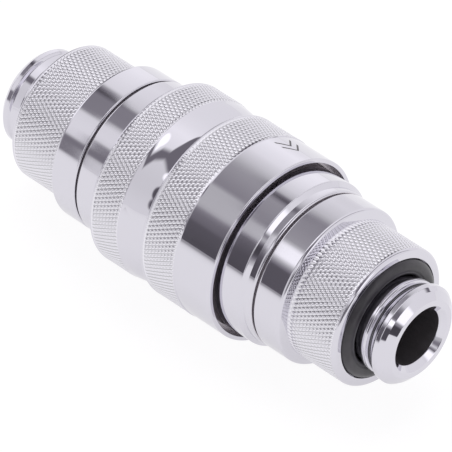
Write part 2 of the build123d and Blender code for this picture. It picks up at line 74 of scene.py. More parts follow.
def section(*corners):
    """Rows of a turned piece's section, in millimetres. Corners are (x, radius, round, pitch),
    in order from the front along the outside and back through the bore. A round is an arc
    tangent to both sides of its corner: centre minus i * side * round * direction, turned
    step by step. A narrow land beside each arc keeps the flats flat. A pitch cuts the side
    after its corner into rows on whole multiples of it. Returns x, radius and crisp per row."""
    corners = [tuple(corner) + (0, 0)[len(corner) - 2:] for corner in corners]
    points = np.array([complex(corner[0], corner[1]) for corner in corners])
    arrive = points - np.roll(points, 1)
    arrive = arrive / abs(arrive)
    leave = np.roll(arrive, -1)
    turn = np.angle(leave / arrive)
    setback = np.array([corner[2] for corner in corners]) * np.tan(abs(turn) / 2)
    rows, crisp = [], []
    for index, (_, _, bend, pitch) in enumerate(corners):
        if bend:
            side = 1j * np.sign(turn[index]) * bend * arrive[index]
            centre = points[index] - arrive[index] * setback[index] + side
            steps = np.linspace(0, 1, 3 + int(abs(turn[index]) / ARC_STEP))
            arc = centre - side * np.exp(1j * turn[index] * steps)
            lands = (arc[0] - arrive[index] * EDGE_LAND, arc[-1] + leave[index] * EDGE_LAND)
            rows.append(np.concatenate(([lands[0]], arc, [lands[1]])))
            crisp.append(np.zeros(len(arc) + 2, bool))
        else:
            rows.append(points[index:index + 1])
            crisp.append(abs(turn[index:index + 1]) > CRISP_TURN)
        if pitch:
            after = (index + 1) % len(corners)
            start = rows[-1][-1]
            end = points[after] - arrive[after] * (setback[after] + EDGE_LAND)
            low, high = sorted((start.real, end.real))
            first, last = int(np.floor(low / pitch)) + 1, int(np.ceil(high / pitch)) - 1
            stations = np.arange(first, last + 1) * pitch
            stations = stations[(stations > low + ROW_MARGIN) & (stations < high - ROW_MARGIN)]
            if start.real > end.real:
                stations = stations[::-1]
            share = (stations - start.real) / (end.real - start.real)
            rows.append(start + (end - start) * share)
            crisp.append(np.zeros(len(stations), bool))
    rows = np.concatenate(rows)
    return rows.real, rows.imag, np.concatenate(crisp)


def turned(name, rows, columns, cut=None):
    """A piece turned about the X axis: the point of row i and column j is
    (x_i, s cos a_j, s sin a_j), where a_j goes once round in equal steps and s is the row's
    radius less the depth that cut(x, radius, angle) takes there. Rows and columns both
    close on themselves. The depth, as a share of the deepest, is kept as attribute cut."""
    x, radius, crisp = rows
    count = len(x)
    angle = np.arange(columns) * (2 * np.pi / columns)
    depth = np.zeros((count, columns))
    if cut is not None:
        depth = cut(x[:, None], radius[:, None], angle[None, :]) + depth
    reach = radius[:, None] - depth
    grid = np.empty((count, columns, 3))
    grid[..., 0] = x[:, None]
    grid[..., 1] = reach * np.cos(angle)
    grid[..., 2] = reach * np.sin(angle)
    here = np.arange(count * columns).reshape(count, columns)
    below, beside = np.roll(here, -1, 0), np.roll(here, -1, 1)
    faces = np.stack([here, below, np.roll(below, -1, 1), beside], -1).reshape(-1, 4)
    mesh = bpy.data.meshes.new(name)
    mesh.vertices.add(count * columns)
    mesh.vertices.foreach_set("co", (grid * MM).astype(np.float32).ravel())
    mesh.loops.add(faces.size)
    mesh.loops.foreach_set("vertex_index", faces.astype(np.int32).ravel())
    mesh.polygons.add(len(faces))
    mesh.polygons.foreach_set("loop_start", np.arange(0, faces.size, 4, dtype=np.int32))
    mesh.polygons.foreach_set("use_smooth", np.ones(len(faces), bool))
    mesh.update(calc_edges=True)
    edges = np.empty(2 * len(mesh.edges), np.int32)
    mesh.edges.foreach_get("vertices", edges)
    edges = edges.reshape(-1, 2) // columns
    sharp = (edges[:, 0] == edges[:, 1]) & crisp[edges[:, 0]]
    mesh.attributes.new("sharp_edge", "BOOLEAN", "EDGE").data.foreach_set("value", sharp)
    share = (depth / max(depth.max(), 1e-6)).astype(np.float32).ravel()
    mesh.attributes.new("cut", "FLOAT", "POINT").data.foreach_set("value", share)
    piece = bpy.data.objects.new(name, mesh)
    bpy.context.scene.collection.objects.link(piece)
    return piece


class Lead:
    """One lead of a node tree. Sums of leads and numbers add Math nodes, and node() adds
    any other node: its type, its settings, which are set first, and what its sockets get."""

    def __init__(self, tree, socket=None):
        self.tree = tree
        self.socket = socket

    def node(self, kind, settings=None, sockets=None, out=0):
        made = self.tree.nodes.new("ShaderNode" + kind)
        for setting, value in (settings or {}).items():
            if setting == "stops":
                ramp = made.color_ramp
                while len(ramp.elements) < len(value):
                    ramp.elements.new(1.0)
                for stop, (place, tone) in zip(ramp.elements, sorted(value)):
                    stop.position = place
                    stop.color = (tone, tone, tone, 1) if np.isscalar(tone) else (*tone, 1)
            else:
                setattr(made, setting, value)
        for entry, value in (sockets or {}).items():
            if isinstance(value, Lead):
                self.tree.links.new(value.socket, made.inputs[entry])
            else:
                made.inputs[entry].default_value = value
        if isinstance(out, tuple):
            return [Lead(self.tree, made.outputs[one]) for one in out]
        return Lead(self.tree, made.outputs[out])

    def sum(self, operation, *terms):
        return self.node("Math", {"operation": operation}, dict(enumerate(terms)))

    def __add__(self, other):
        return self.sum("ADD", self, other)

    def __sub__(self, other):
        return self.sum("SUBTRACT", self, other)

    def __rsub__(self, other):
        return self.sum("SUBTRACT", other, self)

    def __mul__(self, other):
        return self.sum("MULTIPLY", self, other)

    def __truediv__(self, other):
        return self.sum("DIVIDE", self, other)

    def __rtruediv__(self, other):
        return self.sum("DIVIDE", other, self)

    __radd__ = __add__
    __rmul__ = __mul__

    def fade(self, start, end):
        """0 at start and 1 at end, easing in and out."""
        sockets = {"Value": self, "From Min": start, "From Max": end}
        return self.node("MapRange", {"interpolation_type": "SMOOTHSTEP"}, sockets)

    def blend(self, first, second):
        """Colour first where this lead is 0, and second where it is 1."""
        return self.node("Mix", {"data_type": "RGBA"}, {0: self, 6: first, 7: second}, 2)


PLATE = (0.700, 0.686, 0.742)
# Painted light: a knurl's flanks get this tone, lighter than the plate.
FLANK_PAINTED_LIGHT = (0.815, 0.805, 0.850)
# Painted shade: the bottoms of a knurl's grooves are darkened by this share of the plate.
GROOVE_PAINTED_SHADE = 0.50
ENGRAVED = (0.10, 0.095, 0.10)
# Extra roughness where painted shade darkens the metal.
PAINTED_SHADE_ROUGHNESS = 0.4
ENGRAVED_ROUGHNESS = 0.35


def plated(
    name, plate=PLATE, flank_painted_light=FLANK_PAINTED_LIGHT, gloss=0.03, rings=0.0012, mark=None, painted_shade=None, painted_shade_tone=0.42
):
    """Chrome plate over turned metal. Rings of the turning run round the X axis and only
    just show; a cloudy wipe of polish changes the gloss. A knurl's flanks are painted
    lighter than the plate, a painted highlight, and the bottoms of its grooves are painted
    darker, a painted shade. A mark, worked out from x, across and height, is engraved: dark,
    rough and sunk. A mask worked out from x and radius paints shade: there the metal is
    darkened to a given tone and made rougher."""
    material = bpy.data.materials.new(name)
    material.use_nodes = True
    tree = material.node_tree
    start = Lead(tree)
    place = start.node("TexCoord", out="Object")
    cut = start.node("Attribute", {"attribute_name": "cut"}, out="Fac")
    stretched = start.node("Mapping", None, {"Vector": place, "Scale": (1, 0.012, 0.012)})
    turning = start.node("TexNoise", None, {"Vector": stretched, "Scale": 9000.0, "Detail": 2.0})
    cloud = start.node("TexNoise", None, {"Vector": place, "Scale": 240.0, "Detail": 3.0})
    # Painted light on the knurl's flanks, then painted shade in the bottoms of its grooves.
    painted_light_share = cut.fade(0.05, 0.5)
    tone = painted_light_share.blend((*plate, 1), (*flank_painted_light, 1))
    tone = cut.fade(0.66, 1.0).blend(tone, tuple(GROOVE_PAINTED_SHADE * part for part in plate) + (1,))
    rough = cloud * 0.02 + turning * 0.01 + painted_light_share * 0.05 + (gloss - 0.015)
    height = turning * rings
    x, across, up = place.node("SeparateXYZ", None, {0: place}, (0, 1, 2))
    # Painted shade: where the mask is, the tone is darkened and the metal made rougher.
    if painted_shade is not None:
        radius = up.sum("SQRT", across * across + up * up)
        painted_shade_share = painted_shade(x / MM, radius / MM)
        tone = painted_shade_share.blend(tone, (painted_shade_tone, 0.95 * painted_shade_tone, painted_shade_tone, 1))
        rough = rough + painted_shade_share * PAINTED_SHADE_ROUGHNESS
    if mark is not None:
        engraved = mark(x / MM, across / MM, up / MM)
        tone = engraved.blend(tone, (*ENGRAVED, 1))
        rough = rough + engraved * ENGRAVED_ROUGHNESS
        height = height - engraved
    bump = start.node("Bump", None, {"Height": height, "Strength": 1.0, "Distance": 0.00005})
    surface = tree.nodes["Principled BSDF"]
    surface.inputs["Metallic"].default_value = 1.0
    tree.links.new(tone.socket, surface.inputs["Base Color"])
    tree.links.new(rough.socket, surface.inputs["Roughness"])
    tree.links.new(bump.socket, surface.inputs["Normal"])
    return material


BODY_FRONT = -13.3
body_rows = section(
    (BODY_FRONT, 8.93), (BODY_FRONT, 10.5, 0.3), (-14.45, 10.5), (-14.95, 11.05, 0.12),
    (-20.6, 11.05, 0.1), (-20.6, 9.6), (-29.4, 9.6), (-29.4, 9.0), (-29.8, 9.0), (-29.8, 9.6),
    (-30.1, 9.6, 0.06), (-30.1, 7.65, 0.2), (-26.25, 7.65), (-26.25, 8.48), (-25.15, 8.48),
    (-25.15, 7.65), (-19.1, 7.65), (-19.1, 8.3), (-17.5, 8.3), (-17.5, 8.93),
)


def body_painted_shade(x, radius):
    """Painted shade on the body's joint face, and on all of it that is under the sleeve."""
    joint = x.fade(BODY_FRONT - 0.06, BODY_FRONT - 0.02) * radius.fade(10.4, 10.3)
    return joint.sum("MAXIMUM", joint, x.fade(-18.45, -18.7) * radius.fade(8.9, 9.1))


socket_body = turned("socket_body_turned", body_rows, 360)
socket_body.data.materials.append(plated("body_chrome", painted_shade=body_painted_shade, painted_shade_tone=0.62))
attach(socket_body, "socket")
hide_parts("socket_body")


# ---- seals inside --------------------------------------------------------------------
# Black nitrile O-rings, moulded and sprung into their grooves: one in the bore for the
# plug's nose, one behind each end fitting, and three in the valves.
def rubber(name, gloss):
    """Moulded black rubber: a dusty bloom in soft patches over a fine matt grain."""
    material = bpy.data.materials.new(name)
    material.use_nodes = True
    tree = material.node_tree
    start = Lead(tree)
    place = start.node("TexCoord", out="Object")
    bloom = start.node("TexNoise", None, {"Vector": place, "Scale": 420.0, "Detail": 4.0})
    grain = start.node("TexNoise", None, {"Vector": place, "Scale": 7000.0, "Detail": 2.0})
    tone = bloom.fade(0.35, 0.75).blend((0.032, 0.029, 0.035, 1), (0.056, 0.051, 0.061, 1))
    rough = bloom * 0.12 + (gloss - 0.06)
    bump = start.node("Bump", None, {"Height": grain, "Strength": 0.35, "Distance": 0.00003})
    surface = tree.nodes["Principled BSDF"]
    tree.links.new(tone.socket, surface.inputs["Base Color"])
    tree.links.new(rough.socket, surface.inputs["Roughness"])
    tree.links.new(bump.socket, surface.inputs["Normal"])
    return material


def finish(material, *names):
    """Puts a material on the pieces that keep their own shape."""
    for name in names:
        for place in nodes[name].material_slots:
            place.material = material


seal_rubber = rubber("seal_rubber", 0.42)
finish(seal_rubber, "plug_nose_seal", "socket_joint_seal", "plug_joint_seal")
finish(seal_rubber, "stem_seal", "valve_sleeve_oring", "poppet_seal")


# ---- lock: balls, spring and rings ---------------------------------------------------
# Six ground steel balls in the body's radial holes, the sleeve's coil spring and washer,
# and the snap ring that the sleeve stops against. Hard drawn and stamped spring steel.
def steel(name, tone, dark, gloss, grain_scale, stretch):
    """Bare or nickelled steel: a grain drawn out along the way it was worked."""
    material = bpy.data.materials.new(name)
    material.use_nodes = True
    tree = material.node_tree
    start = Lead(tree)
    place = start.node("TexCoord", out="Object")
    drawn = start.node("Mapping", None, {"Vector": place, "Scale": stretch})
    grain = start.node("TexNoise", None, {"Vector": drawn, "Scale": grain_scale, "Detail": 3.0})
    colour = grain.fade(0.3, 0.7).blend((*dark, 1), (*tone, 1))
    bump = start.node("Bump", None, {"Height": grain, "Strength": 0.3, "Distance": 0.00002})
    surface = tree.nodes["Principled BSDF"]
    surface.inputs["Metallic"].default_value = 1.0
    tree.links.new(colour.socket, surface.inputs["Base Color"])
    tree.links.new((grain * 0.12 + (gloss - 0.06)).socket, surface.inputs["Roughness"])
    tree.links.new(bump.socket, surface.inputs["Normal"])
    return material


ball_steel = steel("ball_steel", (0.60, 0.60, 0.62), (0.54, 0.54, 0.56), 0.10, 3000.0, (1, 1, 1))
spring_steel = steel("spring_steel", (0.46, 0.46, 0.48), (0.32, 0.32, 0.34), 0.28, 5000.0, (1, 0.1, 0.1))
finish(ball_steel, "lock_ball_1", "lock_ball_2", "lock_ball_3")
finish(ball_steel, "lock_ball_4", "lock_ball_5", "lock_ball_6")
finish(spring_steel, "sleeve_washer", "sleeve_snap_ring")


WIRE_SIDES = 14
STEPS_PER_TURN = 48
WIRE_FILL = 0.98


def coil(node, wire, turns):
    """A coil spring in a node's place. At share h of its length the wire's centre is at
    (x_h, R sin t, -R cos t), where t is h times the turns; round it, at angle a, the wire
    goes out by its radius times cos a away from the axis and sin a across both that and
    the wire."""
    low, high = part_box(node)
    half = wire / 2 * MM
    radius = high.y - half
    share = np.linspace(0, 1, int(STEPS_PER_TURN * turns))
    length = high.x - low.x - wire * MM
    t = share * turns * 2 * np.pi
    centre = np.stack([low.x + half + share * length, radius * np.sin(t), -radius * np.cos(t)], -1)
    out = np.stack([0 * t, np.sin(t), -np.cos(t)], -1)
    climb = 0 * t + length / (turns * 2 * np.pi)
    ahead = np.stack([climb, radius * np.cos(t), radius * np.sin(t)], -1)
    ahead /= np.linalg.norm(ahead, axis=1)[:, None]
    aside = np.cross(ahead, out)
    angle = np.arange(WIRE_SIDES) * (2 * np.pi / WIRE_SIDES)
    ring = out[:, None] * np.cos(angle)[:, None] + aside[:, None] * np.sin(angle)[:, None]
    points = (centre[:, None] + WIRE_FILL * half * ring).reshape(-1, 3)
    here = np.arange(len(t) * WIRE_SIDES).reshape(-1, WIRE_SIDES)
    beside = np.roll(here, -1, 1)
    faces = np.stack([here[:-1], beside[:-1], beside[1:], here[1:]], -1).reshape(-1, 4).tolist()
    faces += [here[0, ::-1].tolist(), here[-1].tolist()]
    mesh = bpy.data.meshes.new(node + "_coil")
    mesh.from_pydata(points.tolist(), [], faces)
    mesh.polygons.foreach_set("use_smooth", np.ones(len(faces), bool))
    mesh.materials.append(spring_steel)
    spring = bpy.data.objects.new(node + "_coil", mesh)
    bpy.context.scene.collection.objects.link(spring)
    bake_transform(spring)
    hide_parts(node)


coil("sleeve_spring", 0.8, 2.75)


# ---- release sleeve ------------------------------------------------------------------
# The widest piece: a brass sleeve, its front half smooth and its rear half cross
# knurled for the fingers, pushed towards the port to free the balls. Chrome plated.
KNURL_ALONG = 1.04
KNURL_DEPTH = 0.15
KNURL_FADE = 0.25
KNURL_ROW = KNURL_ALONG / 6
SLEEVE_PERIODS = 134
SLEEVE_KNURL = (-29.62, -24.38)
SLEEVE_BAND_RADIUS = 12.2
MARK_MIDDLE = np.radians(65.5)
MARK_TIPS = (-20.75, -21.95)
MARK_SLANT = 0.92


def knurl(x, angle, periods, zone):
    """Depth of a cross knurl: two trains of V grooves, one right- and one left-handed,
    crossing at periods times the angle plus and minus x over the pitch. Each is deepest at
    whole numbers and falls straight to nothing half way between; the deeper one counts.
    The knurl fades out over a quarter of a millimetre at both ends of its zone."""
    lead = periods * angle / (2 * np.pi)
    right = abs(2 * np.mod(lead + x / KNURL_ALONG, 1) - 1)
    left = abs(2 * np.mod(lead - x / KNURL_ALONG, 1) - 1)
    fade = np.clip((x - zone[0]) / KNURL_FADE, 0, 1) * np.clip((zone[1] - x) / KNURL_FADE, 0, 1)
    return KNURL_DEPTH * fade * np.maximum(right, left)


def sleeve_cut(x, radius, angle):
    """The sleeve's knurl, on its outside only."""
    return knurl(x, angle, SLEEVE_PERIODS, SLEEVE_KNURL) * (radius > 12)


def push_mark(x, across, up):
    """Two plain chevrons, one behind the other, that point the way the sleeve is pushed:
    a stroke is where x falls behind its tip by the slant times the arc from the middle."""
    turn = up.sum("ARCTAN2", up, across) - MARK_MIDDLE
    arc = turn.sum("ABSOLUTE", turn * SLEEVE_BAND_RADIUS)
    inside = arc.fade(1.45, 1.38)
    strokes = []
    for tip in MARK_TIPS:
        off = arc.sum("ABSOLUTE", x - tip + arc * MARK_SLANT)
        strokes.append(off.fade(0.19, 0.12))
    return strokes[0].sum("MAXIMUM", strokes[0], strokes[1]) * inside


def sleeve_painted_shade(x, radius):
    """Painted shade on the sleeve's inside."""
    return radius.fade(11.75, 11.69) * x.fade(-18.43, -18.5)


sleeve_rows = section(
    (-18.4, 11.65, 0.08), (-18.4, SLEEVE_BAND_RADIUS, 0.16), (-24.22, SLEEVE_BAND_RADIUS),
    (-24.32, 12.3, 0, KNURL_ROW), (-29.95, 12.3, 0.22), (-29.95, 11.3, 0.08), (-29.38, 11.3),
    (-29.38, 10.096), (-27.149, 9.65), (-26.0, 9.65), (-26.0, 11.1), (-20.0, 11.1), (-20.0, 11.65),
)
sleeve = turned("release_sleeve_turned", sleeve_rows, SLEEVE_PERIODS * 6, sleeve_cut)
sleeve.data.materials.append(plated("sleeve_chrome", mark=push_mark, painted_shade=sleeve_painted_shade, painted_shade_tone=0.62))
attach(sleeve, "sleeve")
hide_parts("release_sleeve")


# ---- socket valve --------------------------------------------------------------------
# A fixed stem on a three-armed spider, and a valve that slides over its head against a
# light spring. Turned brass, nickel plated; the spider and the spring's seat stay bare.
nickel = plated("nickel_plate", (0.60, 0.56, 0.50), (0.60, 0.56, 0.50), 0.16, 0.02)
brass = plated("bare_brass", (0.60, 0.44, 0.20), (0.60, 0.44, 0.20), 0.24, 0.03)
finish(nickel, "valve_stem", "valve_sleeve")
finish(brass, "stem_spider", "valve_spring_seat")
finish(spring_steel, "stem_retaining_ring")
coil("valve_spring", 0.6, 4.5)


# ---- end fittings --------------------------------------------------------------------
# One at each end: a nipple with a crest, a groove and a ridge, a knurled collar with
# a recess for the port's ring, and a smooth band. Turned brass, knurled, chrome plated.
COLLAR_PERIODS = 100
COLLAR_RADIUS = 9.2
PORT_TIP = 4.2
FAR_TIP = -60.8
PLUG_JOINT = -42.8


def fitting_corners(collar):
    """Corners of a fitting with that length of collar, at the socket's end."""
    band = -1.1 - collar
    joint = band - 4.3
    return (
        (PORT_TIP, 4.45, 0.12), (PORT_TIP, 5.2, 0.06), (3.5, 6.1, 0.06), (3.0, 6.5, 0.07),
        (2.35, 6.5, 0.12), (2.05, 6.17, 0.2), (1.05, 5.95), (0.95, 6.15, 0.04),
        (0.72, 6.15), (0.66, 6.09), (0.60, 6.15), (0.3, 6.15, 0.04), (0.3, 5.75),
        (-2.55, 5.75), (-2.55, 7.95),
        (-1.1, 7.95, 0.08), (-1.1, COLLAR_RADIUS, 0.6, KNURL_ROW), (band + 0.35, COLLAR_RADIUS),
        (band, 10.4, 0.4), (band - 4.0, 10.4, 0.2), (band - 4.0, 9.8), (joint, 9.8),
        (joint, 8.9), (joint - 0.6, 8.9), (joint - 0.6, 8.0), (joint - 1.7, 8.0),
        (joint - 1.7, 8.9), (joint - 4.2, 8.9, 0.2), (joint - 4.2, 6.5), (joint, 6.5),
        (joint + 2.75, 3.75), (3.5, 3.75, 0.1),
    )


def fitting_painted_shade(x, radius, tip, joint, way):
    """Painted shade in the bore behind the countersink at the tip, and in the groove at the
    joint. Way is 1 for the fitting that faces +X and -1 for the other."""
    bore = ((x - tip) * way).fade(-0.72, -0.80) * radius.fade(4.4, 4.2)
    groove = ((x - joint) * way).fade(0.32, 0.28) * radius.fade(10.35, 10.2)
    return bore.sum("MAXIMUM", bore, groove)


def socket_fitting_painted_shade(x, radius):
    """Painted shade in the near fitting's bore and groove."""
    return fitting_painted_shade(x, radius, PORT_TIP, BODY_FRONT, 1)


def socket_fitting_cut(x, radius, angle):
    """The knurl of the near fitting's collar."""
    return knurl(x, angle, COLLAR_PERIODS, (-8.6, -1.55)) * (abs(radius - COLLAR_RADIUS) < 0.2)


socket_fitting = turned(
    "socket_end_fitting_turned", section(*fitting_corners(7.9)), COLLAR_PERIODS * 6, socket_fitting_cut
)
socket_fitting.data.materials.append(plated("socket_fitting_chrome", painted_shade=socket_fitting_painted_shade))
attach(socket_fitting, "socket")
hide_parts("socket_end_fitting")


def plug_fitting_cut(x, radius, angle):
    """The knurl of the far fitting's collar."""
    return knurl(x, angle, COLLAR_PERIODS, (-55.05, -47.5)) * (abs(radius - COLLAR_RADIUS) < 0.2)


def plug_fitting_painted_shade(x, radius):
    """Painted shade in the far fitting's bore and groove."""
    return fitting_painted_shade(x, radius, FAR_TIP, PLUG_JOINT, -1)


# The far fitting faces the other way, so its stations count back from the far end. The order
# is turned round too, so the pitch of a side moves to the corner at that side's other end.
plug_corners = [(-56.6 - corner[0], *corner[1:]) for corner in fitting_corners(8.4)]
plug_corners = [
    (x, radius, plug_corners[i][2] if len(plug_corners[i]) > 2 else 0,
     plug_corners[i - 1][3] if len(plug_corners[i - 1]) > 3 else 0)
    for i, (x, radius) in enumerate(corner[:2] for corner in plug_corners)
][::-1]
plug_fitting = turned(
    "plug_end_fitting_turned", section(*plug_corners), COLLAR_PERIODS * 6, plug_fitting_cut
)
plug_fitting.data.materials.append(plated("plug_fitting_chrome", painted_shade=plug_fitting_painted_shade))
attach(plug_fitting, "plug")
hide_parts("plug_end_fitting")


# ---- port rings ----------------------------------------------------------------------
# A thick black O-ring in the recess round each nipple, standing a little proud of the
# collar so that it seals on the face of the port. Moulded rubber, lightly greased.
port_rubber = rubber("port_rubber", 0.33)
finish(port_rubber, "socket_port_oring", "plug_port_oring")


# ---- plug body -----------------------------------------------------------------------
# The other half in one piece: the grooved nose inside the socket, a plain flared neck,
# a cross-knurled shell and a smooth band. Brass, turned, knurled and chrome plated.
SHELL_PERIODS = 134
BALL_STATION = -27.9
BALL_ORBIT = 8.505
GROOVE_ROUND = 1.27
NECK_FRONT = -30.4
NECK_LENGTH = 3.5
NECK_TIP = 11.2
NECK_FLARE = 1.62
NECK_EASE = 0.72
groove_points = [
    (BALL_STATION - GROOVE_ROUND * np.cos(a), BALL_ORBIT - GROOVE_ROUND * np.sin(a))
    for a in np.radians(np.linspace(134.6, 45.4, 13))
]
neck_points = [
    (NECK_FRONT - NECK_LENGTH * t, NECK_TIP + NECK_FLARE * t - NECK_EASE * t * t)
    for t in np.linspace(0, 1, 9)[1:-1]
]


def shell_cut(x, radius, angle):
    """The knurl of the plug's shell."""
    return knurl(x, angle, SHELL_PERIODS, (-38.45, -33.95)) * (radius > 12.1)


def plug_painted_shade(x, radius):
    """Painted shade on the plug's joint face."""
    return x.fade(-42.74, -42.78) * radius.fade(10.35, 10.25)


# Known fault: taken in reverse, as here, the groove's points fold the outline, and the wall of
# the nose lies over the groove.
plug_rows = section(
    (-24.6, 4.45), (-24.6, 7.6, 0.25), *groove_points[::-1], (NECK_FRONT, 7.6),
    (NECK_FRONT, NECK_TIP, 0.1), *neck_points, (-33.9, 12.1, 0, 0.09),
    (-34.35, 12.25, 0, KNURL_ROW), (-38.5, 12.25, 0.12), (-38.75, 12.0, 0.08),
    (-38.75, 10.4), (PLUG_JOINT, 10.4, 0.2), (PLUG_JOINT, 8.93), (-38.6, 8.93),
    (-38.6, 8.3), (-37.0, 8.3), (-37.0, 6.0), (-25.9, 6.0), (-25.9, 4.45),
)
plug = turned("plug_body_turned", plug_rows, SHELL_PERIODS * 6, shell_cut)
plug.data.materials.append(plated("plug_chrome", painted_shade=plug_painted_shade))
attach(plug, "plug")
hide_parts("plug_body")


# ---- plug valve ----------------------------------------------------------------------
# The poppet that closes the plug's nose when the halves come apart, with its coil
# spring, on a three-windowed guide. Nickelled brass, bare brass and spring steel.
finish(nickel, "poppet")
finish(brass, "poppet_guide")
coil("poppet_spring", 0.6, 5.5)


# ---- studio --------------------------------------------------------------------------
# A pale sweep to lie on, seen white; a soft overhead lamp for a faint shadow; and round
# it the light tent that the polished metal mirrors: pale walls, a grey roof, a dark front.
low, high = (Vector(corner) for corner in cad_box)
FLOOR_TONE = (0.97, 0.965, 0.98)
FLOOR_GLOW = 1.06
CAMERA_SHARE = 0.86
GLOSSY_SHARE = 0.66
floor_mesh = bpy.data.meshes.new("floor")
floor_corners = np.array([(x, y, low.z) for x, y in ((-3, -3), (3, -3), (3, 3), (-3, 3))])
floor_mesh.from_pydata(floor_corners, [], [(0, 1, 2, 3)])
floor = bpy.data.objects.new("floor", floor_mesh)
bpy.context.scene.collection.objects.link(floor)
sweep = bpy.data.materials.new("sweep")
sweep.use_nodes = True
lead = Lead(sweep.node_tree)
east, north, _ = lead.node("SeparateXYZ", None, {0: lead.node("TexCoord", out="Object")}, (0, 1, 2))
camera_ray, glossy_ray, through_ray = lead.node(
    "LightPath", None, None, ("Is Camera Ray", "Is Glossy Ray", "Is Transmission Ray")
)
# To glossy rays only, a slanting strip of the sweep is painted darker towards the front: a painted
# reflection of a dark flag, which the metal shows.
strip = (east - north * 0.635).fade(-0.0375, -0.0255) * (east - north * 0.54).fade(0.010, -0.004)
painted_dark_reflection = glossy_ray * north.fade(-0.07, -0.42) * strip
paper_and_painted_reflection = painted_dark_reflection.blend((1.0, 0.994, 1.0, 1), (0.22, 0.21, 0.23, 1))
sheet = lead.node("BsdfDiffuse", None, {"Color": (*FLOOR_TONE, 1)})
glow = lead.node("Emission", None, {"Color": paper_and_painted_reflection, "Strength": FLOOR_GLOW})
seen = camera_ray.sum("MAXIMUM", camera_ray, through_ray) * CAMERA_SHARE
seen = seen.sum("MAXIMUM", seen, glossy_ray * GLOSSY_SHARE)
both = lead.node("MixShader", None, {0: seen, 1: sheet, 2: glow})
output = sweep.node_tree.nodes["Material Output"]
sweep.node_tree.links.new(both.socket, output.inputs["Surface"])
floor_mesh.materials.append(sweep)

# The tent's bands go round the coupler's own axis: 0 is the back wall, 90 overhead,
# 180 the front. A level is what the wall sends towards the metal; plain white is 1.
# Five arches follow each other along the coupler, and wide walls close the rest.
SOCKET_ARCH = (
    (-14, 1.08), (4, 0.92), (12, 0.90), (27, 0.93), (44, 0.82), (56, 0.70), (62.5, 0.52),
    (66.5, 0.38), (70.5, 0.34), (90, 0.36), (106, 0.41), (112.5, 0.45), (116.5, 0.69), (119, 1.05),
    (122.5, 1.28), (134.5, 1.30), (136.5, 1.23), (142.5, 0.59), (146.5, 0.32), (150.5, 0.15),
    (152.5, 0.13), (178.5, 0.13), (182.5, 0.24), (186.5, 0.51), (194, 0.85),
)
RING_ARCH = (
    (-14, 1.04), (12, 1.17), (30.5, 1.12), (44, 1.02), (56.5, 0.90), (64.5, 0.72), (67, 0.62),
    (69, 0.42), (70.5, 0.24), (72.5, 0.16), (74.5, 0.12), (76.5, 0.18), (78.5, 0.29),
    (82.5, 0.40), (98, 0.37), (112.5, 0.31), (116, 0.38), (120.5, 0.56), (128.5, 0.60),
    (132.5, 0.56), (134.5, 0.49), (137, 0.30), (140.5, 0.17), (146, 0.15), (160.5, 0.11),
    (178.5, 0.10), (181, 0.12), (183, 0.27), (186.5, 0.52), (194, 0.83),
)
SLEEVE_ARCH = (
    (-14, 1.10), (4.5, 1.04), (18.5, 1.17), (44.5, 1.02), (50, 0.92), (60.5, 0.76), (66, 0.64),
    (72.5, 0.50), (78, 0.43), (100, 0.33), (104.5, 0.32), (107, 0.40), (110.5, 0.58),
    (132.5, 0.59), (136.5, 0.52), (138.5, 0.40), (140.5, 0.30), (144.5, 0.23), (152.5, 0.19),
    (156.5, 0.13), (176.5, 0.10), (180.5, 0.12), (182.5, 0.45), (184.5, 0.71), (190, 0.9),
)
PLUG_ARCH = (
    (-14, 0.90), (8.5, 0.93), (28.5, 1.0), (50, 0.96), (72.5, 0.85), (76.5, 0.70),
    (80.5, 0.35), (82.5, 0.30), (94.5, 0.29), (106.5, 0.31), (108.5, 0.39), (110.5, 0.63),
    (114.5, 0.87), (118, 0.94), (132.5, 0.95), (138.5, 0.87), (140.5, 0.55), (142.5, 0.36),
    (144.5, 0.28), (152.5, 0.235), (160, 0.25), (161.5, 0.40), (163, 0.63), (166.5, 0.80),
    (186.5, 0.85),
)
TAIL_ARCH = (
    (-14, 1.09), (14.5, 1.14), (40, 1.06), (64.5, 0.97), (66.5, 0.90), (68.5, 0.72),
    (70.5, 0.48), (74.5, 0.22), (78.5, 0.11), (80.5, 0.11), (82.5, 0.18), (86.5, 0.28),
    (110.5, 0.29), (112.5, 0.32), (114.5, 0.50), (116.5, 0.76), (118.5, 0.91), (126.5, 0.95),
    (142.5, 0.98), (148.5, 0.95), (150.5, 0.90), (152.5, 0.73), (154.5, 0.38), (156.5, 0.25),
    (174.5, 0.25), (176.5, 0.39), (178.5, 0.78), (180.5, 0.95),
)
WALLS = (
    (-20, 0.95), (60, 0.97), (72, 0.92), (85, 0.80), (92, 0.45), (98, 0.30), (106, 0.20),
    (120, 0.20), (127, 0.45), (134, 0.85), (140, 0.90), (148, 0.62), (165, 0.58), (176, 0.60),
    (182, 0.90), (240, 1.0),
)
FRONT_WALL = (
    (-20, 0.95), (50, 1.00), (66, 1.05), (80, 1.15), (112, 0.98), (122, 0.86), (142, 0.82),
    (155, 0.82), (172, 0.88), (240, 1.0),
)
BACK_WALL = (
    (-20, 0.10), (30, 0.10), (48, 0.30), (72, 1.10), (96, 1.30), (130, 1.25), (150, 0.40),
    (166, 0.30), (184, 0.70),
)
# A curved flag hangs across the front wall: its middle and its half width in degrees,
# along the coupler's axis.
FLAG_MIDDLE = (
    (-0.48, 134), (-0.40, 131), (-0.33, 124), (-0.21, 114), (0.0, 110), (0.07, 104),
    (0.14, 93), (0.24, 80), (0.34, 68),
)
FLAG_HALF = (
    (-0.48, 12), (-0.40, 9), (-0.33, 8), (-0.21, 8), (0.0, 6), (0.07, 14),
    (0.14, 28), (0.24, 46), (0.34, 58),
)
FLAG_LEVEL = 0.2
